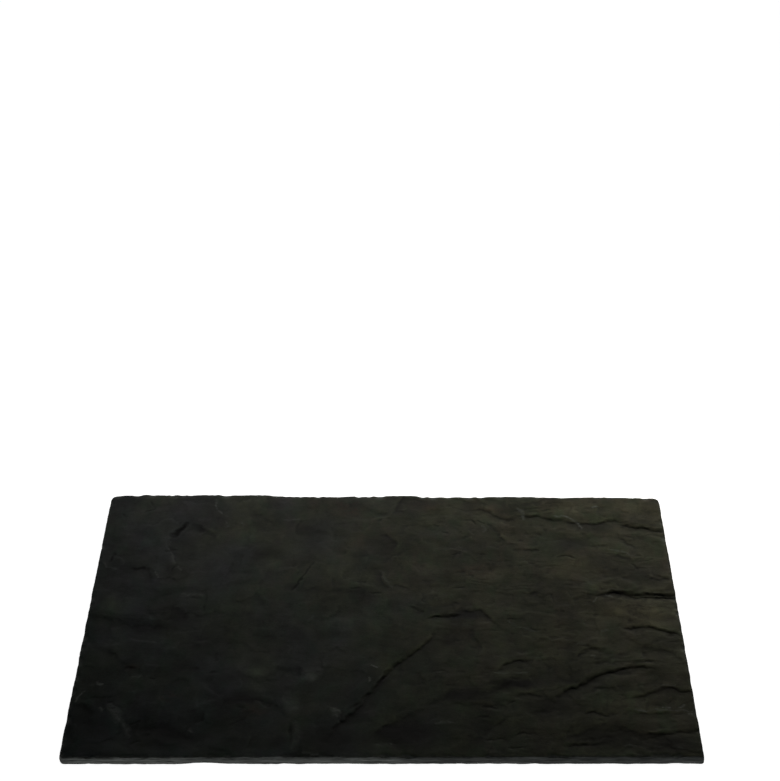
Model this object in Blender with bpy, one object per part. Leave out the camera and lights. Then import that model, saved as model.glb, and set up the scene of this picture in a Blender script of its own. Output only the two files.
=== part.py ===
"""Slate slab: one rectangular plate of riven slate, about 300 x 200 x 5 mm.

X runs along the length, Y from the front edge to the rear edge, and Z up.  The origin is under
the middle of the plate, on the plane that it rests on.

The slab is one piece of rock, so it is one solid.  A box with rounded upright corners is cut
into a grid and fitted to the hand-cut outline.  The lip and the foot of each scarp are cut into
its top, and its points are then moved to the cleft relief of the top, the shallow hollows of
the underside and the rough, dressed edges.
"""

from collections import namedtuple
import math

import bmesh
import bpy
from mathutils import Vector, noise

MM = 0.001                      # the design below is in millimetres, and Blender's unit is the metre

# Driving dimensions, in millimetres.
LENGTH = 300.0
DEPTH = 200.0
THICKNESS = 4.5                 # the mean plane of the top above the resting plane
GRID_STEP = 6.0                 # spacing of the relief's points
TOUCH = 0.001                   # places closer together than this are the same
SNAP = 0.25                     # a scarp's cut this close to a point goes through it
EDGE_LAYERS = 3                 # rows of faces up the edges
LEVEL = 0.5                     # a face whose normal rises more steeply than this isn't part of the edges

# How far each corner of the hand-cut outline lies from the true rectangle, and how round it is.
Corner = namedtuple("Corner", "side_x side_y shift_x shift_y radius")
CORNERS = (
    Corner(-1, -1, 0.2, -0.6, 2.5),
    Corner(1, -1, 0.0, 0.3, 1.2),
    Corner(1, 1, -0.3, -2.0, 3.5),
    Corner(-1, 1, 0.0, 0.8, 5.0),
)
CORNER_SEGMENTS = 3
CORNER_PROFILE = 0.5            # a true arc

# The rear edge as it was dressed: how far it stands out or in at these places along X.
REAR_EDGE = ((-150, 0.0), (-133, 0.5), (-118, -0.2), (-92, 0.3), (-62, 0.3), (-50, -0.6), (-26, -0.8),
             (-17, 0.1), (8, 0.7), (20, -0.3), (56, -0.2), (84, 0.4), (97, -0.5), (121, 0.4), (150, 0.0))

# Rough dressing of the edges.
EDGE_ROUGHNESS = 0.3            # how far the broken faces wander in and out
EDGE_GRAIN = Vector((9.0, 9.0, 1.6))    # length of that wander along the edge and through the layers
TOP_ARRIS_INSET = 0.35
TOP_ARRIS_DROP = 0.25
BOTTOM_ARRIS_INSET = 0.5
BOTTOM_ARRIS_RISE = 0.3
ARRIS_CHIP = 0.7                # extra wear of both arrises at the worst places
ARRIS_CHIP_LENGTH = 14.0

# Flakes broken out of the front edge: the middle, half the width and the depth of the bite.
BOTTOM_CHIPS = ((-83.0, 13.0, 0.9),)
TOP_CHIPS = ((-136.0, 5.0, 0.6), (-117.0, 6.0, 0.4), (14.0, 4.0, 0.5), (82.0, 7.0, 0.5), (136.0, 4.0, 0.6))

# Broad swells and hollows of the top: middle, reach along X and Y, and height.
Swell = namedtuple("Swell", "x y reach_x reach_y height")
TOP_SWELLS = (
    Swell(-122, 14, 46, 26, 0.30),
    Swell(-104, -84, 40, 16, -0.40),
    Swell(-139, -80, 20, 22, -0.15),
    Swell(-104, 60, 22, 24, -0.20),
    Swell(-28, 34, 52, 38, 0.20),
    Swell(-60, -30, 44, 30, -0.15),
    Swell(-34, -62, 20, 26, 0.15),
    Swell(38, -84, 52, 20, -0.30),
    Swell(40, -40, 34, 20, 0.15),
    Swell(108, 88, 58, 15, 0.30),
    Swell(132, 3, 26, 12, 0.30),
    Swell(107, -90, 40, 15, -0.30),
)

# Scarps, where a flake of the top ends in a step.  The high side is on the left of the line.
# Drop of the step, how far its effect reaches on the high and the low side, and the line.
Scarp = namedtuple("Scarp", "name drop high_reach low_reach line")
SCARPS = (
    Scarp("diagonal", 0.80, 22, 16,
          ((-28, -90), (-19, -76), (-9, -62), (-2, -50), (11, -31), (21, -21), (29, -7))),
    Scarp("front_ridge", 0.45, 14, 18,
          ((-10, -90), (4, -77), (20, -66), (29, -58), (42, -56), (56, -51), (68, -47))),
    Scarp("middle_crack", 0.60, 9, 6, ((23, -1), (29, 1), (38, 1))),
    Scarp("middle_arch", 0.45, 9, 6, ((35, 3), (43, 4), (51, 3), (55, -4))),
    Scarp("curved", 0.80, 16, 10, ((82, -63), (88, -55), (98, -48), (108, -41), (119, -37), (136, -38))),
    Scarp("fork", 0.45, 10, 8, ((53, -43), (58, -35), (64, -32), (73, -33))),
    Scarp("right_crack", 0.90, 12, 7, ((106, 17), (116, 20), (127, 17.5), (140, 17), (154, 16.8))),
    Scarp("right_short_crack", 0.60, 10, 6, ((120, -8), (130, -7), (138, -9), (147, -12))),
    Scarp("rear_ledge_left", 0.50, 10, 9, ((50, 89), (58, 85), (66, 80), (76, 80))),
    Scarp("rear_ledge_middle", 0.70, 12, 10, ((74, 82), (91, 81), (105, 75), (117, 78), (134, 78))),
    Scarp("rear_ledge_right", 0.75, 10, 9, ((124, 76), (137, 73), (147, 69), (154, 68))),
    Scarp("right_lip", 0.45, 9, 8, ((118, -60), (134, -53), (142, -53), (154, -55))),
    Scarp("pale_ledge", 0.40, 7, 6, ((119, -69), (133, -70), (147, -70))),
    Scarp("front_right_crack", 0.75, 10, 8, ((123, -84), (134, -84), (154, -81))),
    Scarp("front_right_arch", 0.40, 8, 9, ((82, -87), (96, -82), (110, -76), (120, -81), (127, -89))),
    Scarp("front_left_arch", 0.50, 12, 14,
          ((-122, -84), (-118, -76), (-106, -77), (-96, -80), (-85, -88))),
    Scarp("left_terrace", 0.40, 16, 18, ((-154, 2), (-140, -1), (-124, -6), (-107, -9))),
    Scarp("rear_left_arc", 0.25, 9, 9,
          ((-109, 38), (-114, 55), (-113, 65), (-106, 74), (-98, 73), (-89, 64))),
)
SCARP_HALF_WIDTH = 0.35         # half the run of the step, from its lip to its foot
SCARP_TAPER = 0.18              # share of the line over which a step fades out at each end

# Shallow hollows of the underside; the rest of it is the flat that the slab rests on.
HOLLOWS = (
    Swell(-112, 52, 30, 24, 0.45),
    Swell(-84, -62, 38, 20, 0.50),
    Swell(-22, 76, 40, 14, 0.40),
    Swell(66, 58, 26, 20, 0.40),
    Swell(112, -30, 24, 36, 0.50),
    Swell(26, -76, 30, 13, 0.40),
)

SLATE_COLOUR = (0.012, 0.013, 0.011, 1.0)
SLATE_ROUGHNESS = 0.6


def clear_scene():
    for leftover in list(bpy.data.objects):
        bpy.data.objects.remove(leftover, do_unlink=True)


def smooth_bump(distance):
    """1 in the middle, falling smoothly to 0 at a distance of 1."""
    return (1.0 - distance * distance) ** 2 if distance < 1.0 else 0.0


def interpolate(points, x):
    """Height at x of the line through points, which are sorted by x."""
    for (x0, value0), (x1, value1) in zip(points, points[1:]):
        if x <= x1:
            share = max(0.0, (x - x0) / (x1 - x0))
            return value0 + (value1 - value0) * share
    return points[-1][1]


def swell_height(swells, x, y):
    total = 0.0
    for swell in swells:
        distance = math.hypot((x - swell.x) / swell.reach_x, (y - swell.y) / swell.reach_y)
        total += swell.height * smooth_bump(distance)
    return total


def nearest_on_line(line, x, y):
    """Distance to the line, +1 on its left or -1 on its right, and the share of its length there."""
    lengths = [math.dist(start, end) for start, end in zip(line, line[1:])]
    best = (math.inf, 1.0, 0.0)
    travelled = 0.0
    for (x0, y0), (x1, y1), length in zip(line, line[1:], lengths):
        along_x, along_y = (x1 - x0) / length, (y1 - y0) / length
        along = (x - x0) * along_x + (y - y0) * along_y
        along = min(max(along, 0.0), length)
        gap_x, gap_y = x - x0 - along * along_x, y - y0 - along * along_y
        distance = math.hypot(gap_x, gap_y)
        if distance < best[0]:
            side = 1.0 if along_x * gap_y - along_y * gap_x >= 0.0 else -1.0
            best = (distance, side, (travelled + along) / sum(lengths))
        travelled += length
    return best


def scarp_height(scarp, x, y):
    """Half the drop up on the high side and half down on the low side, dying away from the line."""
    distance, side, share = nearest_on_line(scarp.line, x, y)
    reach = scarp.high_reach if side > 0.0 else scarp.low_reach
    fade = min(1.0, min(share, 1.0 - share) / SCARP_TAPER)
    step = side * min(1.0, distance / SCARP_HALF_WIDTH)
    return scarp.drop / 2 * fade * step * smooth_bump(distance / reach)


def top_height(x, y):
    relief = sum(scarp_height(scarp, x, y) for scarp in SCARPS)
    return THICKNESS + swell_height(TOP_SWELLS, x, y) + relief


def chip_depth(chips, x, y):
    """Depth of the flakes missing from the front edge at this place."""
    if y > 0.0:
        return 0.0
    return sum(depth * smooth_bump(abs(x - middle) / half_width) for middle, half_width, depth in chips)


def to_outline(x, y):
    """Where a point of the true rectangle lies on the hand-cut plate."""
    share_x, share_y = x / LENGTH, y / DEPTH
    moved_x, moved_y = x, y
    for corner in CORNERS:
        weight = (0.5 + corner.side_x * share_x) * (0.5 + corner.side_y * share_y)
        moved_x += weight * corner.shift_x
        moved_y += weight * corner.shift_y
    moved_y += interpolate(REAR_EDGE, x) * smooth_bump(1.0 - max(0.0, y / (DEPTH / 2)))
    return moved_x, moved_y


def make_blank():
    """The box that the slab is made from, in millimetres, standing on its resting plane."""
    blank = bmesh.new()
    bmesh.ops.create_cube(blank, size=1.0)
    bmesh.ops.scale(blank, vec=(LENGTH, DEPTH, THICKNESS), verts=blank.verts)
    bmesh.ops.translate(blank, vec=(0.0, 0.0, THICKNESS / 2), verts=blank.verts)
    return blank


def round_corners(blank):
    """Round each of the four upright edges to its own radius."""
    for corner in CORNERS:
        here = (corner.side_x * LENGTH / 2, corner.side_y * DEPTH / 2)
        upright = [edge for edge in blank.edges
                   if all(math.dist(vert.co.xy, here) < TOUCH for vert in edge.verts)]
        bmesh.ops.bevel(blank, geom=upright, offset=corner.radius, segments=CORNER_SEGMENTS,
                        profile=CORNER_PROFILE, affect='EDGES')


def cut_grid(blank):
    """Cut the blank into strips along X, along Y and up its edges."""
    for size, origin, normal in ((LENGTH, -LENGTH / 2, Vector((1, 0, 0))),
                                 (DEPTH, -DEPTH / 2, Vector((0, 1, 0))),
                                 (THICKNESS, 0.0, Vector((0, 0, 1)))):
        strips = EDGE_LAYERS if normal.z else round(size / GRID_STEP)
        for strip in range(1, strips):
            everything = blank.verts[:] + blank.edges[:] + blank.faces[:]
            bmesh.ops.bisect_plane(blank, geom=everything, dist=TOUCH, plane_no=normal,
                                   plane_co=normal * (origin + size * strip / strips))


def fit_outline(slab):
    """Move the points of the true rectangle to the hand-cut outline."""
    for vert in slab.verts:
        vert.co.x, vert.co.y = to_outline(vert.co.x, vert.co.y)


def cut_along(slab, line, offset):
    """Cut the top along one side of a line, at a distance of offset to its left."""
    for start, end in zip(line, line[1:]):
        along = (Vector(end) - Vector(start)).normalized()
        left = Vector((-along.y, along.x, 0.0))
        near = [face for face in slab.faces if face.normal.z > LEVEL
                and nearest_on_line((start, end), *face.calc_center_median().xy)[0] < GRID_STEP]
        around = {part for face in near for part in (*face.verts, *face.edges, face)}
        bmesh.ops.bisect_plane(slab, geom=list(around), dist=SNAP, plane_no=left,
                               plane_co=Vector((*start, THICKNESS)) + left * offset)


def cut_scarps(slab):
    """Give each scarp's lip and foot their own edges, so that its step stays steep."""
    for scarp in SCARPS:
        cut_along(slab, scarp.line, SCARP_HALF_WIDTH)
        cut_along(slab, scarp.line, -SCARP_HALF_WIDTH)


def outward_at(vert):
    """The level direction out of the edge face at this point, or None away from the edges."""
    sides = [face.normal for face in vert.link_faces if abs(face.normal.z) < LEVEL]
    if not sides:
        return None
    return sum(sides, Vector()).normalized()


def finished_point(flat, outward):
    """Where a point of the flat plate lies on the finished slab."""
    x, y = flat.xy
    top = top_height(x, y)
    bottom = swell_height(HOLLOWS, x, y)
    if outward is None:
        return Vector((x, y, top if flat.z > THICKNESS / 2 else bottom))

    chipping = max(0.0, noise.noise(Vector((x, y, 0.0)) / ARRIS_CHIP_LENGTH))
    grain = Vector((x / EDGE_GRAIN.x, y / EDGE_GRAIN.y, flat.z / EDGE_GRAIN.z))
    inset = -EDGE_ROUGHNESS * noise.noise(grain)
    bottom += BOTTOM_ARRIS_RISE + ARRIS_CHIP * chipping + chip_depth(BOTTOM_CHIPS, x, y)
    top -= TOP_ARRIS_DROP + ARRIS_CHIP * chipping + chip_depth(TOP_CHIPS, x, y)
    if flat.z > THICKNESS - TOUCH:
        inset += TOP_ARRIS_INSET
    elif flat.z < TOUCH:
        inset += BOTTOM_ARRIS_INSET
    level = bottom + (top - bottom) * flat.z / THICKNESS
    return Vector((x - inset * outward.x, y - inset * outward.y, level))


def raise_relief(slab):
    """Move every point of the flat plate to the finished surface."""
    slab.normal_update()
    finished = [finished_point(vert.co, outward_at(vert)) for vert in slab.verts]
    for vert, place in zip(slab.verts, finished):
        vert.co = place
    bmesh.ops.triangulate(slab, faces=slab.faces[:], quad_method='SHORT_EDGE')


def centre_slab(slab):
    """Bring the middle of the outline over the origin."""
    for axis in (0, 1):
        places = [vert.co[axis] for vert in slab.verts]
        middle = (min(places) + max(places)) / 2
        for vert in slab.verts:
            vert.co[axis] -= middle


def slate_material():
    material = bpy.data.materials.new("slate")
    material.use_nodes = True
    shader = material.node_tree.nodes["Principled BSDF"]
    shader.inputs["Base Color"].default_value = SLATE_COLOUR
    shader.inputs["Roughness"].default_value = SLATE_ROUGHNESS
    shader.inputs["Metallic"].default_value = 0.0
    return material


def make_slab(collection):
    slab = make_blank()
    round_corners(slab)
    cut_grid(slab)
    fit_outline(slab)
    cut_scarps(slab)
    raise_relief(slab)
    centre_slab(slab)
    bmesh.ops.scale(slab, vec=(MM, MM, MM), verts=slab.verts)
    mesh = bpy.data.meshes.new("slate_slab")
    slab.to_mesh(mesh)
    slab.free()
    mesh.materials.append(slate_material())
    collection.objects.link(bpy.data.objects.new("slate_slab", mesh))


def main():
    clear_scene()
    collection = bpy.data.collections.new("slate_slab")
    bpy.context.scene.collection.children.link(collection)
    make_slab(collection)


main()
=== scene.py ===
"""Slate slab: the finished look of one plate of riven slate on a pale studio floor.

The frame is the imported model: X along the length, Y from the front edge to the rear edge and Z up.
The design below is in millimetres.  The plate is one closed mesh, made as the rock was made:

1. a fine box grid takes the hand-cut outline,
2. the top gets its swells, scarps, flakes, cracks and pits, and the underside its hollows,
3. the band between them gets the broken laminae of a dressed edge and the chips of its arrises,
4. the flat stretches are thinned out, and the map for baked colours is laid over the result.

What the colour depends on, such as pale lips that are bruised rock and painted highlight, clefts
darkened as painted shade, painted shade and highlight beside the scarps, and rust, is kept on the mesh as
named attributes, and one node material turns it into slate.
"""

from collections import namedtuple
from itertools import product
import math

import bpy
from mathutils import Matrix, Vector
import numpy as np


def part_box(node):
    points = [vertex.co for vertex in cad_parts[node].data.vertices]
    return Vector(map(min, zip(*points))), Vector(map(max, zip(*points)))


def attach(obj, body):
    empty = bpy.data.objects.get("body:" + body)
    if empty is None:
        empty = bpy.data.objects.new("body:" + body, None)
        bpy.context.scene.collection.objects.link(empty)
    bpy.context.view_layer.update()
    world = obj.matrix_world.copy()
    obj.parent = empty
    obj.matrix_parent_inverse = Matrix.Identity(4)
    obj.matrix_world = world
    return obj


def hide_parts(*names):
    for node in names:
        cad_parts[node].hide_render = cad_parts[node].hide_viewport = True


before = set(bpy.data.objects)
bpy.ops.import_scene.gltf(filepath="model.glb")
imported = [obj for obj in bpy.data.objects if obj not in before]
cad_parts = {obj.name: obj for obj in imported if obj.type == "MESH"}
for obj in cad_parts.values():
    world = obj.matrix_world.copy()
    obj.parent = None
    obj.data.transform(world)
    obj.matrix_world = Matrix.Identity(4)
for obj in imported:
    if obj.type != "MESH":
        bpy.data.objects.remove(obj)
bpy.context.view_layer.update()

MM = 0.001
NODE = "slate_slab"
LOW, HIGH = (Vector(corner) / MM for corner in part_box(NODE))

# Driving dimensions, in millimetres.
LENGTH = 300.0
DEPTH = 200.0
THICKNESS = 4.5                 # the mean plane of the top above the resting plane
COLUMNS, ROWS, LAYERS = 600, 380, 11     # faces of the box grid along X, along Y and up the edges
MOST_TRIANGLES = 192_000

# How far each corner of the hand-cut outline lies from the true rectangle, and how round it is.
Corner = namedtuple("Corner", "side_x side_y shift_x shift_y radius")
CORNERS = (
    Corner(-1, -1, 0.2, -0.6, 2.5),
    Corner(1, -1, 0.0, 0.3, 1.2),
    Corner(1, 1, -0.3, -2.0, 3.5),
    Corner(-1, 1, 0.0, 0.8, 5.0),
)

# The rear edge as it was dressed: how far it stands out or in at these places along X.
REAR_EDGE = (
    (-150, -0.6), (-146, -0.9), (-141, -0.6), (-135, -0.5), (-131, 0.4), (-125, -0.2), (-118, -0.3),
    (-105, 0.1), (-92, 0.5), (-88, 0.0), (-66, 0.5), (-52, -0.6), (-38, -0.8), (-25, -1.0), (-17, -0.1),
    (-13, -0.8), (5, 0.5), (14, 0.5), (19, -0.4), (40, -0.5), (55, 0.0), (65, 0.3), (80, 0.4), (90, -0.5),
    (97, -0.7), (112, -0.3), (120, 0.3), (132, -0.4), (141, -0.8), (150, -0.4),
)

# Broad swells and hollows, each a patch of the plan: its middle, its reach along X and Y, and its height.
TOP_SWELLS = (
    (-122, 14, 46, 26, 0.3), (-104, -84, 40, 16, -0.4), (-139, -80, 20, 22, -0.15),
    (-104, 60, 22, 24, -0.2), (-28, 34, 52, 38, 0.2), (-60, -30, 44, 30, -0.15), (-34, -62, 20, 26, 0.15),
    (38, -84, 52, 20, -0.3), (40, -40, 34, 20, 0.15), (108, 88, 58, 15, 0.3), (132, 3, 26, 12, 0.3),
    (107, -90, 40, 15, -0.3),
)
UNDERSIDE_HOLLOWS = (
    (-112, 52, 30, 24, 0.45), (-84, -62, 38, 20, 0.5), (-22, 76, 40, 14, 0.4), (66, 58, 26, 20, 0.4),
    (112, -30, 24, 36, 0.5), (26, -76, 30, 13, 0.4),
)

# Scarps, where a flake of the top ends in a step.  The high side is on the left of the line.
# Drop of the step, its run from lip to foot, how far its effect reaches on the high and the low
# side, the line, and how open the cleft at its foot is, from 0 to 1, at even spaces along it.
Scarp = namedtuple("Scarp", "drop run high_reach low_reach line clefts", defaults=((0.0,),))
SCARPS = (
    # The long diagonal and the ridge in front of it.
    Scarp(0.4, 1.6, 24, 18, (
        (-28, -90), (-20, -77), (-12, -68), (-6, -57), (-2, -50), (2, -43), (6, -37), (11, -31), (15, -27),
        (20, -22.5), (23, -18), (25, -13), (28, -9)), (0.0, 0.0, 0.05, 0.35, 0.8, 0.65, 0.35, 0.25)),
    Scarp(0.14, 3.2, 14, 18, (
        (-10, -90), (-4, -84), (4, -78), (12, -71), (20, -66), (27, -60), (32, -57), (40, -56))),
    Scarp(0.2, 3.4, 10, 12, ((46, -58), (54, -53), (60, -49.5), (67, -47))),
    Scarp(0.2, 1.6, 7, 6, ((62, -57), (70, -56), (78, -57.5)), (0.3, 0.1)),
    # The cleft in the middle and the plate it bounds.
    Scarp(0.4, 1.3, 9, 8, ((22, -1.9), (27, -0.5), (32, 0.6), (40, 0.6)), (0.3, 0.6, 0.6, 0.2)),
    Scarp(0.25, 1.7, 9, 8, (
        (33, 2.5), (38, 4), (44, 4.4), (50, 4.5), (54, -1), (55, -6)), (0.0, 0.2, 0.1, 0.0)),
    Scarp(0.15, 1.3, 6, 5, ((13, 8), (17, 6), (22, 2)), (0.1, 0.3, 0.1)),
    # The deep cleft at the right edge, with its second strand, and the short one below it.
    Scarp(0.68, 1.6, 12, 7, (
        (108, 15), (112, 17), (116, 18.6), (121, 18.2), (127, 17.5), (133, 17.6), (140, 16.8), (154, 16.8)),
        (0.0, 0.7, 0.4, 0.9, 0.9, 0.8)),
    Scarp(0.3, 0.8, 4, 5, ((122, 17), (128, 15.4), (134, 15), (141, 14.6), (154, 14.6)), (0.2, 0.9, 0.9)),
    Scarp(0.45, 1.5, 10, 6, (
        (119, -10), (126, -8.5), (132, -8), (138, -9.5), (145, -12.5), (150, -15)), (0.0, 0.4, 0.5, 0.1)),
    # The curved scarp and its twin.
    Scarp(0.5, 2.0, 16, 10, (
        (81, -64), (84, -59.5), (88, -55), (94, -51.5), (99, -48.5), (104, -44.5), (110, -41.5), (118, -39),
        (127, -37.5), (137, -39)), (0.1, 0.3, 0.2, 0.6, 0.5, 0.2)),
    Scarp(0.25, 1.2, 5, 3, ((121, -35.5), (128, -34), (134, -34)), (0.1, 0.4, 0.2)),
    Scarp(0.32, 1.6, 10, 8, ((55, -43), (58, -39), (62, -35), (67, -33.5), (74, -33)), (0.1, 0.4, 0.1)),
    Scarp(0.08, 2.4, 8, 5, ((61, -27), (66, -25.5), (73, -24.5))),
    # The ledges of the rear right corner.
    Scarp(0.3, 2.0, 10, 9, ((50, 90), (56, 86), (61, 82), (66, 79.5), (71, 80)), (0.0, 0.2)),
    Scarp(0.4, 2.2, 12, 12, (
        (69, 81), (76, 82), (83, 81.6), (91, 79.0), (98, 77.5), (103, 75.0), (110, 75.0), (116, 76.0),
        (124, 78), (134, 77.2)), (0.4, 0.65, 0.4, 0.1, 0.0, 0.1, 0.2, 0.5, 0.4)),
    Scarp(0.55, 1.8, 10, 9, (
        (125, 75.5), (131, 73.6), (138, 72.3), (143, 71), (148, 69), (154, 68)), (0.4, 0.7, 0.4, 0.7)),
    # The lips and ledges of the front right corner.
    Scarp(0.3, 1.4, 9, 8, (
        (117, -61), (126, -58), (134, -53.5), (140, -52.5), (144, -54.5), (154, -55)),
        (0.1, 0.1, 0.4, 0.3)),
    Scarp(0.2, 1.5, 7, 6, ((119, -69.5), (127, -71), (133, -70), (139, -70), (147, -70.5)), (0.1, 0.2)),
    Scarp(0.32, 2.0, 10, 9, (
        (121, -83), (126, -84), (133, -84), (140, -82.5), (154, -81)), (0.0, 0.2, 0.3, 0.5)),
    Scarp(0.14, 3.4, 9, 12, (
        (81, -88), (90, -85), (96, -82), (102, -79), (110, -76.5), (115, -80), (122, -84), (127, -88))),
    Scarp(0.2, 1.6, 6, 4, ((85, -92), (94, -91), (103, -90)), (0.2,)),
    Scarp(0.25, 1.8, 7, 5, ((97, -70), (103, -69.5), (107, -71), (113, -69)), (0.2,)),
    # Small steps at the right, between the larger ones.
    Scarp(0.2, 3.5, 9, 6, ((110, -32), (120, -27), (130, -24), (140, -26), (149, -31))),
    Scarp(0.2, 1.8, 5, 4, ((99, -25), (104, -24), (109, -24.5)), (0.1,)),
    Scarp(0.2, 1.8, 5, 4, ((95, -31), (98, -27.5), (101, -25)), (0.1,)),
    Scarp(0.28, 2.2, 6, 5, ((103, -34.5), (108, -33.5), (113, -33)), (0.2,)),
    Scarp(0.2, 1.6, 5, 4, ((73, 54), (77, 53.5), (82, 53)), (0.1,)),
    Scarp(0.2, 1.6, 6, 5, ((118, 49), (123, 48), (128, 46.5), (130, 43)), (0.0, 0.2)),
    Scarp(0.15, 1.6, 5, 4, ((108, 56), (113, 56.5), (118, 57)), (0.1,)),
    Scarp(0.15, 1.6, 5, 4, ((126, 64), (128, 59), (135, 54.5)), (0.1,)),
    Scarp(0.18, 2.4, 5, 4, ((122, 30), (127, 30.5), (132, 31))),
    Scarp(0.25, 2.2, 7, 4, ((136, 30), (142, 29.5), (150, 29.5)), (0.1,)),
    # The arch and the pits of the front left corner.
    Scarp(0.2, 3.8, 12, 14, (
        (-122, -84), (-119, -79), (-113, -77), (-106, -78), (-98, -79), (-94, -83), (-87, -87),
        (-80, -90))),
    Scarp(0.14, 3.0, 8, 8, ((-150, -66), (-146, -64.5), (-141, -66), (-136, -71))),
    Scarp(0.16, 2.6, 9, 12, ((-66, -60), (-58, -61), (-51, -64), (-46, -69), (-43, -74))),
    # Terraces of the left edge.
    Scarp(0.35, 5.0, 20, 18, (
        (-154, 3), (-142, 1), (-134, -3), (-126, -5), (-118, -5), (-108, -8), (-103, -7))),
    Scarp(0.12, 2.5, 9, 9, ((-117, 4), (-111, 6), (-105, 6.5), (-100, 2), (-98, -5))),
    Scarp(0.1, 3.4, 10, 9, ((-149, -17), (-140, -23), (-131, -28))),
    Scarp(0.2, 2.0, 9, 9, ((-130, 39), (-124, 37.5), (-121, 33), (-118, 23))),
    # The arc and the edge of the flake at the rear left.
    Scarp(0.14, 1.4, 9, 9, ((-108, 37), (-111, 45), (-114, 53), (-115, 60), (-112, 66), (-107, 73))),
    Scarp(0.15, 2.4, 9, 9, ((-103, 76), (-98, 72), (-93, 67), (-88, 64))),
    # Broad flakes across the middle.
    Scarp(0.18, 1.5, 10, 9, ((4, 82), (5, 88), (8, 94), (11, 99))),
    Scarp(0.15, 1.8, 10, 9, ((57, 77), (60, 70), (62, 64), (66, 59), (72, 57))),
    Scarp(0.12, 1.8, 10, 9, ((-3, 66), (3, 64), (6, 60), (6, 55), (4, 50))),
    Scarp(0.12, 3.0, 9, 8, ((-46, 20), (-34, 21), (-22, 20.5), (-8, 19))),
    Scarp(0.16, 1.4, 8, 8, ((-1, 34), (-1, 27), (4, 22))),
    Scarp(0.14, 1.4, 6, 5, ((5, 24.5), (9, 23), (14, 22)), (0.1,)),
)
HIGH_SHARE = 0.35               # share of the drop that rises on the high side, and the rest falls
SCARP_TAPER = 0.16              # share of a scarp's length over which each end fades away
CLEFT_DEPTH = 0.30
CLEFT_HALF_WIDTH = 0.55
LIP_GAP, LIP_WIDTH, LIP_PALENESS = 0.4, 0.7, 0.25     # the pale lip above an open cleft: bruised rock and painted highlight
FOOT_SHADE_REACH = 3.5                # how far the painted shade at the foot of a step spreads

# Grooves and pits, darkened inside as painted shade: depth, half the width and the points of the line.
GROOVES = (
    (0.8, 2.4, (-106, 74), (-109, 70), (-113, 65)), (0.25, 0.8, (-109, 39), (-110, 35)),
    (0.2, 0.9, (-110, 53), (-116, 50.5)), (0.1, 2.4, (-101, 75), (-97, 69), (-90, 65)),
    (0.25, 1.3, (-142, 50), (-144, 43)), (0.25, 1.2, (-142, 83), (-140, 81)),
    (0.2, 1.0, (-131, 85), (-125, 88), (-128, 94)), (0.25, 1.4, (-131, 38), (-125, 37)),
    (0.35, 0.8, (-37, 41), (-40, 33), (-43, 27), (-46, 20)), (0.25, 1.2, (-45, 22), (-47, 19)),
    (0.2, 1.0, (-17, 21), (-12, 21)), (0.2, 1.0, (-15, 25.5), (-9, 25.5)),
    (0.2, 1.1, (-8, 17), (-4, 16.5), (0, 17.5)), (0.18, 0.9, (-92, 20), (-90, 12), (-91, 4)),
    (0.2, 1.0, (-101, 13), (-94, 13.5)), (0.25, 0.9, (24, -41.5), (31, -41)),
    (0.2, 0.8, (36, -41), (41, -41.5)), (0.35, 1.1, (92, 46.5), (96, 48), (101, 45)),
    (0.25, 1.2, (26, 73.5), (29, 72.5)), (0.25, 1.2, (31, 67.5), (34, 66.5)),
    (0.25, 1.0, (36, 49.5), (40, 49)), (0.25, 1.0, (51, 49), (54, 49)),
    (0.3, 1.1, (43, 78), (47, 77), (49, 74)), (0.3, 0.9, (50, 77), (54, 75)),
    (0.25, 1.0, (36, 21.5), (41, 21.5)), (0.3, 0.9, (130, 42), (132, 36)),
    (0.25, 0.9, (137, 44), (141, 44.5)), (0.25, 0.8, (76, 41), (79, 40.5)), (0.2, 0.7, (86, 17), (87, 10)),
    (0.25, 1.2, (-131, -63), (-124, -67)), (0.25, 1.3, (-120, -78), (-115, -75)),
    (0.25, 1.0, (-118, -91), (-113, -89)), (0.25, 1.5, (-126, -39), (-122, -39.5)),
    (0.2, 1.1, (-113, -47), (-110, -47)), (0.2, 1.1, (-84, -42), (-80, -42.5)),
    (0.25, 1.3, (-68, -61), (-64, -62)), (0.2, 1.3, (-69, -66), (-65, -67)),
    (0.25, 1.3, (-44, -77), (-42, -90)), (0.3, 1.2, (-3, -52), (-8, -60), (-14, -68)),
    (0.25, 1.1, (36, 9), (39, 8)), (0.25, 1.0, (62, -2.5), (68, -2.5)), (0.25, 1.0, (55, -67), (49, -67)),
    (0.25, 0.9, (66, -61), (60, -64)), (0.25, 0.9, (46, -73), (50, -73)),
    (0.3, 0.8, (63, -85), (67, -84), (72, -84.5)), (0.3, 0.8, (49, -88), (54, -87.5), (59, -88.5)),
    (0.3, 0.8, (60, -94), (66, -93.5)), (0.25, 1.1, (103, -53), (107, -54)),
    (0.25, 1.0, (114, -51), (117, -51)),
)
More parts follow.
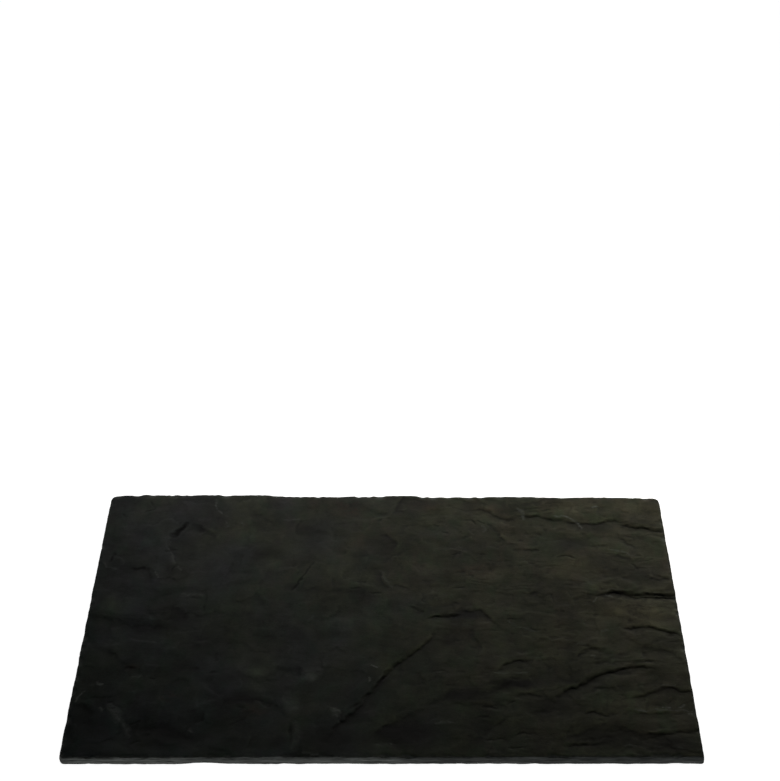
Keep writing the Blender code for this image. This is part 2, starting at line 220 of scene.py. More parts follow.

# Pale marks, some where the rock is bruised or veined and some painted highlights where a facet catches the
# light: how pale, half the width and the points of the line.
MARKS = (
    (0.9, 0.7, (96, 81), (99, 79), (102, 77), (105, 71)), (0.8, 1.0, (93, 81), (95, 81)),
    (0.5, 1.0, (72, 88), (74, 84), (75, 79)), (1.0, 0.9, (113.5, 89), (114.5, 89)),
    (0.25, 0.5, (-114, 60), (-114, 54), (-112, 48), (-110, 41)),
    (0.5, 0.6, (-92, 97), (-91, 90), (-88.5, 83)), (0.25, 0.8, (-53, 78), (-46, 78)),
    (0.35, 0.8, (-147, 43), (-145, 39), (-140, 36)), (0.5, 0.6, (-119, 33), (-117, 29)),
    (0.5, 0.7, (-107, 39), (-106, 35)), (0.35, 2.0, (-102, 16), (-98, 15), (-94, 15.5)),
    (0.9, 0.9, (-139, -49), (-136, -51)), (0.8, 0.7, (-143, -56), (-147, -63)),
    (0.5, 0.7, (-135, -67), (-133, -69)), (0.5, 1.2, (-130, -66), (-127, -72), (-122, -79), (-119, -86)),
    (0.5, 2.4, (-129, -66), (-126, -71), (-125, -75)), (0.35, 2.2, (-36, -44.5), (-34, -47)),
    (0.3, 1.2, (-39, -43), (-36, -43)), (1.0, 0.6, (-4.5, -37), (-2.5, -39.5)),
    (0.7, 0.6, (-7, -46), (-6.5, -49)), (0.7, 2.0, (-22, -68.5), (-21.5, -72)),
    (0.8, 0.5, (-21, -69), (-19, -71)), (0.4, 0.8, (-36, -97), (-30, -98)),
    (0.25, 1.2, (-48, -61), (-41, -68)), (0.25, 1.6, (-41, -77), (-39, -86), (-41, -95)),
    (1.0, 0.5, (4.8, -91), (5.3, -91.5)), (0.5, 0.7, (-90, -81), (-89, -83)),
    (0.4, 0.9, (-122, -45), (-118, -45)), (0.4, 0.6, (25, -77.5), (34, -76.5)),
    (0.7, 0.7, (121, -67.5), (127, -69.5), (134, -68.3), (148, -68.8)),
    (1.0, 0.7, (122, -68.5), (126, -70)), (1.0, 0.6, (134, -66.5), (138, -66.3)),
    (1.0, 0.7, (142, -66.5), (145, -65)), (0.9, 0.6, (146.5, -71), (149.5, -70)),
    (0.5, 0.6, (131, -54), (136, -51.5), (142, -51.5)), (0.6, 0.8, (114, 16.5), (117, 15)),
    (0.5, 0.6, (107, 10), (109, 13)), (0.4, 0.6, (63, -4.5), (70, -9), (78, -12.5)),
    (0.35, 0.7, (103, -31), (105, -31)), (0.35, 0.8, (109, -11), (112, -11)),
    (0.35, 0.8, (96, -21), (100, -21)), (0.15, 1.8, (35, -7), (40, -7), (45, -8.5)),
    (0.35, 0.9, (-1, 34), (0, 29), (4, 22)), (0.4, 0.6, (55, -43.5), (61, -43)),
    (0.4, 0.6, (65, -42.5), (71, -42.5)), (0.35, 0.7, (114, -92), (119, -92.5)),
    (0.35, 0.6, (127, -93), (131, -93)), (0.35, 0.6, (136, -93), (141, -93.5)),
    (0.35, 0.6, (39, 56), (41, 54)), (0.4, 0.9, (-131, 98), (-127, 98)),
    (0.35, 0.8, (-118, 98), (-114, 97.5)), (0.35, 0.8, (-86, 76), (-84, 72)),
    (0.35, 0.7, (-77, 76), (-76, 73)), (0.5, 0.7, (119, 53), (126, 51.5), (130, 48)),
    (0.4, 0.7, (52, 73), (54, 71), (53, 68)),
)

# Stains and patches, each a patch of the plan like the swells, with its strength.  Rust is brown; the khaki
# patches are partly the rock's colour and partly painted sheen where the rear lamps fall.
RUST_STAINS = (
    (-20, 88, 14, 11, 0.5), (22, 90, 12, 8, 0.5), (-40, 92, 9, 8, 0.25), (46, 35, 14, 8, 0.4),
    (-124, -39, 8, 5, 0.4), (-102, -60, 8, 7, 0.25), (-66, -64, 12, 6, 0.25), (-10, 60, 12, 9, 0.15),
    (-60, -70, 10, 8, 0.3), (60, 88, 14, 7, 0.3),
)
KHAKI_AND_SHEEN_PATCHES = (
    (126, 3, 30, 15, 1.0), (130, -4, 22, 9, 0.5), (140, 86, 22, 14, 0.8), (100, 91, 44, 10, 0.6),
    (58, 34, 26, 15, 0.6), (100, 38, 30, 16, 0.4), (33, 9, 14, 7, 0.4), (20, 22, 20, 12, 0.4),
)

# Lighter (above 0) and darker (below 0) patches of the top: mostly painted shade where plates tilt away from
# the light and painted highlight where they catch it, partly the rock's own tone.
SHADE_AND_TONE_PATCHES = (
    (42, 0.5, 15, 6, -1.1), (38, 8, 13, 6, -0.5), (35, -5, 8, 5, -0.5), (-46, -42, 7, 3, 0.9),
    (98, 57, 14, 9, -0.8), (113, 72, 18, 7, -0.6), (50, 71, 14, 8, -0.4), (25, 67, 14, 8, -0.4),
    (136, 32, 18, 14, -0.7), (-143, -74, 15, 17, -0.35), (-104, -86, 26, 10, -0.7),
    (-68, -88, 14, 12, -0.4), (-48, -90, 8, 8, -0.7), (-22, -88, 20, 12, -0.8), (13, -85, 24, 13, -1.2),
    (40, -58, 18, 8, -0.9), (62, -50, 16, 6, -0.8), (82, -66, 18, 14, -0.8), (90, -48, 14, 4, -0.8),
    (72, -50, 18, 5, -0.7), (117, -42, 12, 3, -0.6), (105, -88, 20, 10, -0.9), (135, -91, 26, 9, -1.0),
    (-66, -60, 12, 8, -1), (-75, -46, 14, 8, -0.5), (-98, -40, 14, 10, -0.4), (-102, -4, 16, 14, -0.6),
    (-92, -20, 14, 9, -0.3), (-118, -12, 12, 6, -0.4), (-141, -26, 13, 11, -0.15), (-106, 61, 9, 13, -0.5),
    (-130, 37, 9, 7, -0.4), (-46, 22, 8, 5, -0.7), (-65, 52, 26, 10, -0.4), (-38, 58, 12, 12, -0.3),
    (-1, 60, 12, 14, -0.5), (34, -20, 10, 8, -0.4), (-3, -47, 8, 12, -0.7), (8, -24, 8, 10, -0.4),
    (143, -20, 10, 8, -0.4), (94, 25, 16, 9, -0.3), (20, 92, 18, 7, -0.4), (-126, -70, 6, 10, 0.9),
    (-106, -62, 8, 6, 0.4), (-3, 4, 10, 24, 1.2), (-52, -8, 18, 11, 1.1), (-20, 0, 14, 16, 0.8),
    (13, 4, 12, 14, 0.6), (-76, -5, 8, 6, 0.4), (28, 15, 14, 11, 1.2), (-12, 28, 14, 16, 0.7),
    (12, 60, 8, 8, 0.5), (18, 40, 17, 13, 0.5), (-132, 9, 15, 13, 0.7), (-118, 36, 7, 9, 0.5),
    (-60, 40, 12, 8, 0.7), (-80, 36, 14, 15, 0.2), (-94, 84, 20, 16, -0.5), (-36, 75, 9, 8, 0.4),
    (130, 4, 30, 13, 0.9), (112, 22, 12, 5, 0.8), (140, -8, 14, 5, 0.8), (135, 88, 22, 10, 0.4),
    (112, -61, 24, 8, 0.7), (128, -69, 18, 5, 0.7), (58, -76, 12, 6, 0.5), (84, -28, 14, 14, 0.6),
    (56, -22, 12, 10, 0.4), (100, 43, 16, 8, 0.4), (118, 52, 16, 6, 0.4), (50, 30, 17, 12, 0.6),
    (95, 88, 24, 8, 0.5), (66, 4, 12, 9, 0.4), (-62, -42, 9, 5, 1), (-35, -46, 5, 4, 1.6),
    (-35, -45, 9, 8, 0.7), (-122, -47, 18, 5, 0.5), (-43, -66, 5, 12, 0.8), (-22, -70, 4, 4, 1.6),
    (-22, -70, 9, 8, 0.5), (-86, -68, 12, 10, 0.3),
)

# Ripples of the top: their height, how much they gain at the right, and their length along X and Y.
RIPPLES = ((0.03, 0.1, 20.0, 9.5), (0.025, 0.014, 7.0, 5.0), (0.014, 0.003, 3.2, 2.4), (0.008, 0.0, 1.5, 1.2))
# How features wander from their lines: grain, reach, and the number of the noise along X and along Y.
WANDERS = ((6.5, 1.0, 1, 3), (2.6, 0.7, 2, 4), (1.1, 0.12, 12, 13))

# A crest of the top is a place this much higher than the mean of so many grid points to each side of it.
RIDGE_HEIGHT, RIDGE_REACH = 0.05, 3

# The broken edges: how far their laminae stand out, with the grain along them and up them.
LAMINAE = ((0.15, 9.0, 1.6), (0.15, 14.0, 0.55), (0.09, 2.4, 0.7), (0.05, 1.0, 0.45))
TOP_ROUNDING, UNDER_ROUNDING, ROUNDING_POWER = 0.30, 0.20, 8
EDGE_CHIPPING = 0.45            # how deep the arrises are nibbled away
EDGE_REACH = 3.0                # how far in from an edge the top and the underside follow its wander
ARRIS_WIDTH = 0.9               # how far in from an edge the top is worn, and paled as bruised rock and painted highlight
ARRIS_ANGLE = 38.0              # in degrees: faces that meet at a sharper angle than this show an edge
CHIPS = 210                     # small flakes missing along the arrises of each face

# Flakes broken out of the arrises of the front edge: the middle, half the width and the bite.
FRONT_BOTTOM_CHIPS = ((-83, 13.5, 0.9), (-137, 3.0, 0.12), (-46, 5.0, 0.1), (33, 6.0, 0.1), (110, 5.0, 0.1))
FRONT_TOP_CHIPS = (
    (-137, 3.0, 0.6), (-117, 5.0, 0.5), (14, 3.5, 0.5), (50, 3.0, 0.35), (82, 6.0, 0.5), (136.5, 2.0, 0.9),
)
# How far from the front edge the underside is kept nearly flat, and from where on it is free.
FRONT_STRAIGHT = (0.9, 8.0)

# How pale the broken face of the front edge is at these places along X, next to the other edges.
FRONT_EDGE_TONE = (
    (-150, 1.0), (-110, 1.45), (-96, 1.45), (-89, 1.0), (-32, 1.0), (-6, 1.25), (5, 1.25), (14, 0.62),
    (50, 0.62), (62, 0.8), (78, 0.62), (150, 0.65),
)

# The map for baked colours.
MAP_MARGIN = 0.004              # space between its parts, as a share of its width
EDGE_STRETCH = 1.3              # how much taller the edges are drawn on it than to scale

# The lattice that the noise is worked out on, and the tilts of the cleavage faces.
LATTICE, NOISE_GAIN = 256, 1.6
FACET_KINDS, FACET_JITTER, FACET_RISE = 64, 0.45, 0.4


def clamp(values, low=0.0, high=1.0):
    return np.minimum(np.maximum(values, low), high)


def smooth_step(values, start=0.0, end=1.0):
    """0 up to start, 1 from end on, and a smooth rise between them."""
    share = clamp((values - start) / (end - start))
    return share * share * (3.0 - 2.0 * share)


def smooth_bump(distance):
    """1 in the middle, falling smoothly to 0 at a distance of 1."""
    return np.square(1.0 - np.minimum(np.square(distance), 1.0))


def noise(x, y, z, seed):
    """Smooth gradient noise, about -1 to 1, with features about one unit long."""
    random = np.random.default_rng(seed)
    order = random.permutation(LATTICE)
    slopes = random.normal(size=(LATTICE, 3))
    slopes /= np.linalg.norm(slopes, axis=1, keepdims=True)
    places = [np.asarray(axis, dtype=float) for axis in np.broadcast_arrays(x, y, z)]
    cells = [np.floor(place).astype(int) for place in places]
    parts = [place - cell for place, cell in zip(places, cells)]
    eases = [part ** 3 * (part * (part * 6.0 - 15.0) + 10.0) for part in parts]
    total = 0.0
    for steps in product((0, 1), repeat=3):
        slot = 0
        for cell, step in zip(cells, steps):
            slot = order[(slot + cell + step) % LATTICE]
        slope = slopes[slot]
        value, weight = 0.0, 1.0
        for axis, (part, ease, step) in enumerate(zip(parts, eases, steps)):
            value = value + slope[..., axis] * (part - step)
            weight = weight * (ease if step else 1.0 - ease)
        total = total + weight * value
    return total * NOISE_GAIN


def interpolate(points, x):
    """Value at x of the line through points, each a place and its value, in order of their places."""
    places, values = zip(*points)
    return np.interp(x, places, values)


def patch_sum(patches, x, y):
    """What all the patches add up to at each place."""
    total = np.zeros_like(x)
    for middle_x, middle_y, reach_x, reach_y, amount in patches:
        total += amount * smooth_bump(np.hypot((x - middle_x) / reach_x, (y - middle_y) / reach_y))
    return total


def rounded_line(line, steps=4):
    """A smooth curve through the points of a line."""
    points = np.array(line, dtype=float)
    if len(points) < 3:
        return points
    padded = np.vstack((2 * points[0] - points[1], points, 2 * points[-1] - points[-2]))
    curve = []
    for before, start, end, after in zip(padded, padded[1:], padded[2:], padded[3:]):
        for step in range(steps):
            t = step / steps
            curve.append(0.5 * (2 * start + (end - before) * t
                                + (2 * before - 5 * start + 4 * end - after) * t ** 2
                                + (3 * start - before - 3 * end + after) * t ** 3))
    curve.append(points[-1])
    return np.array(curve)


def near_line(line, x, y, reach):
    """The points within reach of a line: which they are, their distance from it, +1 on its left or
    -1 on its right, and the share of its length there."""
    line = rounded_line(line)
    low, high = line.min(axis=0) - reach, line.max(axis=0) + reach
    near = np.flatnonzero((x > low[0]) & (x < high[0]) & (y > low[1]) & (y < high[1]))
    spots = np.stack((x[near], y[near]), axis=1)
    best = np.full(len(near), np.inf)
    side = np.ones(len(near))
    share = np.zeros(len(near))
    lengths = np.linalg.norm(np.diff(line, axis=0), axis=1)
    travelled = 0.0
    for start, end, length in zip(line, line[1:], lengths):
        along = (end - start) / length
        gap = spots - start
        run = clamp(gap @ along, 0.0, length)
        gap = gap - run[:, None] * along
        distance = np.hypot(gap[:, 0], gap[:, 1])
        closer = distance < best
        best[closer] = distance[closer]
        side[closer] = np.where(along[0] * gap[:, 1] - along[1] * gap[:, 0] >= 0.0, 1.0, -1.0)[closer]
        share[closer] = (travelled + run[closer]) / lengths.sum()
        travelled += length
    kept = best < reach
    return near[kept], best[kept], side[kept], share[kept]


def facets(x, y, cell_x, cell_y, crispness, seed):
    """A patchwork of gently tilted faces, which meet the more abruptly the crisper they are.  Returns
    its height and the shade of each face, -1 to 1."""
    traits = np.random.default_rng(seed).uniform(-1.0, 1.0, size=(FACET_KINDS, FACET_KINDS, 6))
    place_x, place_y = x / cell_x, y / cell_y
    column, row = np.floor(place_x).astype(int), np.floor(place_y).astype(int)
    weights, heights, shades = 0.0, 0.0, 0.0
    for step_x, step_y in product((-1, 0, 1), repeat=2):
        kinds = traits[(column + step_x) % FACET_KINDS, (row + step_y) % FACET_KINDS]
        jitter_x, jitter_y, level, tilt_x, tilt_y, shade = kinds.T
        gap_x = place_x - (column + step_x + 0.5 + FACET_JITTER * jitter_x)
        gap_y = place_y - (row + step_y + 0.5 + FACET_JITTER * jitter_y)
        weight = np.exp(-crispness * (gap_x ** 2 + gap_y ** 2))
        weights = weights + weight
        heights = heights + weight * (FACET_RISE * level + tilt_x * gap_x + tilt_y * gap_y)
        shades = shades + weight * shade
    return heights / weights, shades / weights


class Relief:
    """A cleft face: its height over each place of the plan, and what its colour depends on."""

    def __init__(self, x, y, seed):
        self.x, self.y, self.seed = x, y, seed
        self.height = np.zeros_like(x)
        self.dark = np.zeros_like(x)        # 1 inside clefts and pits, where the colour is darkened as painted shade
        self.shade = np.zeros_like(x)       # painted shade above 0, below a scarp and in dark patches; painted highlight below 0, above it and in light patches
        self.pale = np.zeros_like(x)        # 1 where the rock is bruised or veined, and where a highlight is painted
        self.facet = np.zeros_like(x)       # from -1 to 1, its own for each cleavage face
        # Features follow these wandering coordinates, so that their lines come out ragged.
        self.ragged_x, self.ragged_y = x, y
        for grain, reach, number_x, number_y in WANDERS:
            self.ragged_x = self.ragged_x + reach * self.noise(grain, grain, number_x)
            self.ragged_y = self.ragged_y + reach * self.noise(grain, grain, number_y)
        self.vigour = clamp(0.7 + 0.6 * self.noise(8.0, 8.0, 5) + 0.5 * self.noise(2.6, 2.6, 11), 0.05, 1.4)

    def noise(self, grain_x, grain_y, number):
        """Noise with features of this length along X and Y."""
        return noise(self.x / grain_x, self.y / grain_y, 0.5, self.seed + number)

    def add_facets(self, cell_x, cell_y, crispness, height, shade, number):
        """Cleavage faces about this large, with this much height and difference of shade to them."""
        wander_x = self.ragged_x + self.noise(14.0, 14.0, number) * 5.0
        wander_y = self.ragged_y + self.noise(14.0, 14.0, number + 1) * 4.0
        heights, shades = facets(wander_x, wander_y, cell_x, cell_y, crispness, self.seed + number)
        self.height += height * heights
        self.facet += shade * shades

    def add_scarp(self, scarp, tone_and_shade):
        """A step, with painted shade below it and painted highlight above it, of the strength given."""
        reach = max(scarp.high_reach, scarp.low_reach)
        near, distance, side, share = near_line(scarp.line, self.ragged_x, self.ragged_y, reach)
        fade = clamp(np.minimum(share, 1.0 - share) / SCARP_TAPER)
        here = np.where(side > 0.0, scarp.high_reach, scarp.low_reach)
        part = np.where(side > 0.0, HIGH_SHARE, HIGH_SHARE - 1.0)
        half_run = scarp.run * (1.05 - 0.6 * self.vigour[near])
        step = part * clamp(distance / half_run)
        self.height[near] += scarp.drop * fade * step * smooth_bump(distance / here)

        open_part = np.interp(share, np.linspace(0.0, 1.0, len(scarp.clefts)), scarp.clefts)
        cleft = open_part * fade * self.vigour[near]
        low_side = side < 0.0
        foot = smooth_bump((distance - half_run) / CLEFT_HALF_WIDTH)
        self.height[near] -= CLEFT_DEPTH * cleft * foot * low_side
        # The face of the step and the cleft at its foot are darkened as painted shade.
        face = smooth_bump((distance - 0.3 * half_run) / (0.25 + 0.55 * cleft))
        self.dark[near] = np.maximum(self.dark[near], face * clamp(cleft))
        # Painted highlight on the high side and painted shade on the low side, with more painted shade
        # spreading from the foot.
        level = smooth_bump(distance / (0.65 * here)) * clamp(distance / half_run) * (0.4 + self.vigour[near])
        self.shade[near] -= side * fade * tone_and_shade * level
        self.shade[near] += low_side * fade * tone_and_shade * self.vigour[near] * smooth_bump(distance / FOOT_SHADE_REACH)
        # The pale lip is partly bruised rock and partly painted highlight.
        lip = smooth_bump((distance - half_run - LIP_GAP) / LIP_WIDTH) * (side > 0.0)
        self.pale[near] = np.maximum(self.pale[near], LIP_PALENESS * lip * clamp(1.6 * cleft - 0.4))

    def add_groove(self, depth, half_width, line):
        near, distance, _, share = near_line(line, self.ragged_x, self.ragged_y, half_width * 1.5)
        fade = smooth_step(np.minimum(share, 1.0 - share) / SCARP_TAPER, -1.0, 1.0)
        shape = fade * smooth_bump(distance / half_width) * clamp(self.vigour[near] + 0.6 * depth)
        self.height[near] -= 0.45 * depth * shape
        # The groove is darkened as painted shade.
        self.dark[near] = np.maximum(self.dark[near], shape * clamp(1.6 * depth))

    def add_mark(self, strength, half_width, line):
        near, distance, _, _ = near_line(line, self.ragged_x, self.ragged_y, half_width * 1.5)
        broken = 0.4 + 0.6 * smooth_step(self.noise(1.6, 1.6, 6)[near], -0.5, 0.2)
        shape = strength * broken * smooth_bump(distance / (half_width * 1.4))
        self.pale[near] = np.maximum(self.pale[near], shape)
        self.height[near] += 0.05 * shape

    def add_flakes(self, spacing, rise, where):
        """Overlapping flakes: gentle ramps that end in small steps facing the front edge."""
        level = self.ragged_y / spacing + 2.0 * self.noise(38.0, 15.0, 7) + 0.6 * self.noise(9.0, 6.0, 8)
        part = level - np.floor(level)
        run = 0.05 + 0.12 * clamp(self.noise(13.0, 9.0, 9) + 0.5)
        step = smooth_step(part / run)
        strength = where * smooth_step(self.noise(17.0, 8.0, 10), -0.1, 0.5)
        self.height += rise * strength * (step - part)
        # The small steps of the flakes are darkened as painted shade.
        self.dark = np.maximum(self.dark, 0.2 * strength * smooth_bump((part - 0.5 * run) / run))

    def add_dents(self, grain_x, grain_y, depth, where, number):
        """Small pits and nicks."""
        shape = where * smooth_step(self.noise(grain_x, grain_y, number), 0.38, 0.85)
        self.height -= depth * shape
        # The pits are darkened as painted shade.
        self.dark = np.maximum(self.dark, 0.2 * shape)


def to_outline(x, y):
    """Where a point of the true rectangle lies on the hand-cut plate."""
    for corner in CORNERS:
        inner_x = corner.side_x * (LENGTH / 2 - corner.radius)
        inner_y = corner.side_y * (DEPTH / 2 - corner.radius)
        across = clamp((x - inner_x) * corner.side_x / corner.radius)
        along = clamp((y - inner_y) * corner.side_y / corner.radius)
        inside = (across > 0.0) & (along > 0.0)
        round_x = inner_x + corner.side_x * corner.radius * across * np.sqrt(1.0 - along ** 2 / 2)
        round_y = inner_y + corner.side_y * corner.radius * along * np.sqrt(1.0 - across ** 2 / 2)
        x, y = np.where(inside, round_x, x), np.where(inside, round_y, y)
    share_x, share_y = x / LENGTH, y / DEPTH
    moved_x, moved_y = x.copy(), y.copy()
    for corner in CORNERS:
        weight = (0.5 + corner.side_x * share_x) * (0.5 + corner.side_y * share_y)
        moved_x += weight * corner.shift_x
        moved_y += weight * corner.shift_y
    moved_y += interpolate(REAR_EDGE, x) * smooth_bump(1.0 - clamp(2.0 * share_y))
    return moved_x, moved_y


def plan_grid():
    """Plan positions of the box grid, with a row for each X and a column for each Y, and how far
    each place is from the nearer end and from the nearer long edge."""
    across = np.linspace(-LENGTH / 2, LENGTH / 2, COLUMNS + 1)
    along = np.linspace(-DEPTH / 2, DEPTH / 2, ROWS + 1)
    across, along = np.meshgrid(across, along, indexing="ij")
    x, y = to_outline(across, along)
    return x, y, LENGTH / 2 - np.abs(across), DEPTH / 2 - np.abs(along)


def rim_places():
    """The grid's outermost points, in order anticlockwise from the front left corner."""
    places = [(column, 0) for column in range(COLUMNS)]
    places += [(COLUMNS, row) for row in range(ROWS)]
    places += [(column, ROWS) for column in range(COLUMNS, 0, -1)]
    places += [(0, row) for row in range(ROWS, 0, -1)]
    return tuple(np.array(places).T)


def grid_faces(numbers):
    """Faces between the points of a grid, whose numbers are given as a 2-D array."""
    corners = (numbers[:-1, :-1], numbers[1:, :-1], numbers[1:, 1:], numbers[:-1, 1:])
    return np.stack(corners, axis=-1).reshape(-1, 4)


def chip_bites(chips, x, y):
    """Depth of the flakes missing from the front arris at this place."""
    total = np.zeros_like(x)
    for middle, half_width, depth in chips:
        across, inward = (x - middle) / half_width, (y + DEPTH / 2) / (0.35 * half_width)
        total += depth * smooth_bump(np.hypot(across, inward))
    return total


def bite_field(x, y, rim_x, rim_y, seed):
    """Depth, at each place of the plan, of the small flakes missing along the arrises."""
    random = np.random.default_rng(seed)
    spots = random.uniform(0.0, 1.0, CHIPS)
    radii = random.uniform(0.8, 3.2, CHIPS) ** 1.2
    bites = radii * random.uniform(0.05, 0.16, CHIPS)
    total = np.zeros_like(x)
    for spot, radius, bite in zip(spots, radii, bites):
        place = int(spot * len(rim_x))
        near = (np.abs(x - rim_x[place]) < radius) & (np.abs(y - rim_y[place]) < radius)
        distance = np.hypot(x[near] - rim_x[place], y[near] - rim_y[place]) / radius
        total[near] = np.maximum(total[near], bite * smooth_bump(distance))
    return total


def blurred(values, reach):
    """The mean of a grid of values over a square that reaches this many points each way."""
    for axis in (0, 1):
        width = 2 * reach + 1
        padding = [(0, 0), (0, 0)]
        padding[axis] = (reach + 1, reach)
        sums = np.cumsum(np.pad(values, padding, mode="edge"), axis=axis)
        ahead = np.take(sums, range(width, sums.shape[axis]), axis=axis)
        behind = np.take(sums, range(0, sums.shape[axis] - width), axis=axis)
        values = (ahead - behind) / width
    return values


def random_scarps(seed, count, low, high, heading_spread, drop, length):
    """Short steps strewn over a part of the face, all running roughly along X."""
    random = np.random.default_rng(seed)
    scarps = []
    for _ in range(count):
        point = random.uniform(low, high)
        heading = random.normal(0.0, heading_spread)
        line = [point]
        for _ in range(4):
            heading += random.normal(0.0, 0.35)
            stride = random.uniform(*length) / 4
            point = point + stride * np.array((math.cos(heading), math.sin(heading)))
            line.append(point)
        height = random.uniform(*drop)
        scarps.append(Scarp(height, random.uniform(1.2, 3.0), 14 * height + 4.0, 12 * height + 3.0, line,
                            (random.uniform(0.0, 0.12),)))
    return scarps


def top_relief(x, y):
    """The cleft top: calm and lumpy on the left, rippled and flaky on the right."""
    relief = Relief(x, y, seed=100)
    right = smooth_step(x + 0.25 * y, -30.0, 95.0)
    relief.height += THICKNESS + patch_sum(TOP_SWELLS, x, y)
    relief.height += 0.10 * relief.noise(60.0, 44.0, 20)
    relief.add_facets(22.0, 22.0, 9.0, 0.26, 0.6, 21)
    relief.add_facets(9.0, 9.5, 14.0, 0.10, 0.5, 23)
    for number, (height, gain, grain_x, grain_y) in enumerate(RIPPLES, start=25):
        relief.height += (height + gain * right) * relief.noise(grain_x, grain_y, number)
    relief.add_facets(6.5, 4.5, 12.0, 0.065 * right, 0.35, 31)
    relief.add_flakes(8.5, 0.085, right)
    for scarp in SCARPS:
        relief.add_scarp(scarp, 0.18 + 0.12 * scarp.drop)
    for scarp in random_scarps(41, 45, (15, -98), (150, 96), 0.3, (0.02, 0.07), (4, 15)):
        relief.add_scarp(scarp, 0.08)
    for scarp in random_scarps(44, 40, (-150, -98), (60, 96), 0.8, (0.02, 0.05), (5, 16)):
        relief.add_scarp(scarp, 0.05)
    relief.add_dents(5.0, 3.0, 0.08, 0.1 + 0.9 * right, 29)
    # Patches of painted shade and painted highlight, partly the rock's own tone.
    relief.shade -= patch_sum(SHADE_AND_TONE_PATCHES, relief.ragged_x, relief.ragged_y)
    for depth, half_width, *line in GROOVES:
        relief.add_groove(depth, half_width, line)
    for strength, half_width, *line in MARKS:
        relief.add_mark(strength, half_width, line)
    return relief


def underside_relief(x, y):
    """The riven underside: it rests on its high places, and lies hollow between them."""
    relief = Relief(x, y, seed=300)
    relief.height += 0.05 * relief.noise(50.0, 40.0, 20) + 0.04 * relief.noise(16.0, 9.0, 21)
    relief.add_facets(24.0, 15.0, 14.0, 0.16, 1.0, 22)
    relief.height += 0.02 * relief.noise(6.0, 4.5, 24)
    relief.add_flakes(11.0, 0.10, np.full_like(x, 0.8))
    for scarp in random_scarps(51, 70, (-148, -98), (148, 96), 0.5, (0.05, 0.2), (6, 26)):
        relief.add_scarp(scarp, 0.12)
    relief.height = np.maximum(relief.height, 0.0) + patch_sum(UNDERSIDE_HOLLOWS, x, y)
    return relief


def edge_inset(x, y, level, layer):
    """How far the broken edge face lies inside the outline, at a level and its share of the height."""
    reach = 0.0
    for seed, (amount, grain, rise) in enumerate(LAMINAE, start=71):
        reach = reach + amount * noise(x / grain, y / grain, level / rise, seed)
    rounding = TOP_ROUNDING * layer ** ROUNDING_POWER + UNDER_ROUNDING * (1.0 - layer) ** ROUNDING_POWER
    chipping = EDGE_CHIPPING * clamp(noise(x / 8.0, y / 8.0, 0.0, 75)) * smooth_step(layer, 0.55, 1.0)
    chipping += EDGE_CHIPPING * clamp(noise(x / 7.0, y / 7.0, 9.0, 76)) * smooth_step(-layer, -0.45, 0.0)
    return rounding + chipping - reach


def band_point(x, y, outward, bottom, top, layer):
    """A point of the broken edge face, at a share of its height given by layer."""
    level = bottom + (top - bottom) * layer
    inset = edge_inset(x, y, level, layer)
    return x - inset * outward[0], y - inset * outward[1], level


def drawn_in(x, y, gap_x, gap_y, height, layer):
    """Places of the top (layer 1) or the underside (layer 0), moved in step with the edge beside them."""
    inset = edge_inset(x, y, height, layer)
    share_x, share_y = smooth_bump(gap_x / EDGE_REACH), smooth_bump(gap_y / EDGE_REACH)
    inset = inset / np.maximum(1.0, np.hypot(share_x, share_y))
    return x - inset * share_x * np.sign(x), y - inset * share_y * np.sign(y)


def outward_directions(rim_x, rim_y):
    """Level unit vectors out of the plate, one for each point of its rim."""
    along_x = np.roll(rim_x, -2) - np.roll(rim_x, 2)
    along_y = np.roll(rim_y, -2) - np.roll(rim_y, 2)
    length = np.hypot(along_x, along_y)
    return along_y / length, -along_x / length


def face_reliefs(x, y, gap_x, gap_y, rim_x, rim_y):
    """The reliefs of the top and of the underside, with their worn and chipped arrises."""
    top, underside = top_relief(x, y), underside_relief(x, y)
    distance = np.minimum(gap_x, gap_y)
    arris = smooth_bump(distance / ARRIS_WIDTH)
    wear = 0.12 * arris * clamp(0.5 + noise(x / 5.0, y / 5.0, 0.0, 60))
    bites = bite_field(x, y, rim_x, rim_y, 61) + chip_bites(FRONT_TOP_CHIPS, x, y)
    top.height -= wear + bites
    # The arrises are paled, partly as bruised rock and partly as painted highlight.
    arris_bruise_and_highlight = clamp(0.35 + 0.6 * noise(x / 3.0, y / 3.0, 0.0, 63)) * arris
    top.pale = np.maximum(top.pale, np.maximum(clamp(bites * 2.0) * 0.6, 0.5 * arris_bruise_and_highlight))

    straight = smooth_step(y, *(place - DEPTH / 2 for place in FRONT_STRAIGHT))
    bites = bite_field(x, y, rim_x, rim_y, 62) * (0.2 + 0.8 * straight)
    bites += chip_bites(FRONT_BOTTOM_CHIPS, x, y)
    underside.height *= 0.3 + 0.7 * straight
    underside.height += 0.10 * smooth_bump(distance) + bites
    underside.pale = np.maximum(underside.pale, clamp(bites * 2.0) * 0.5)
    return top, underside


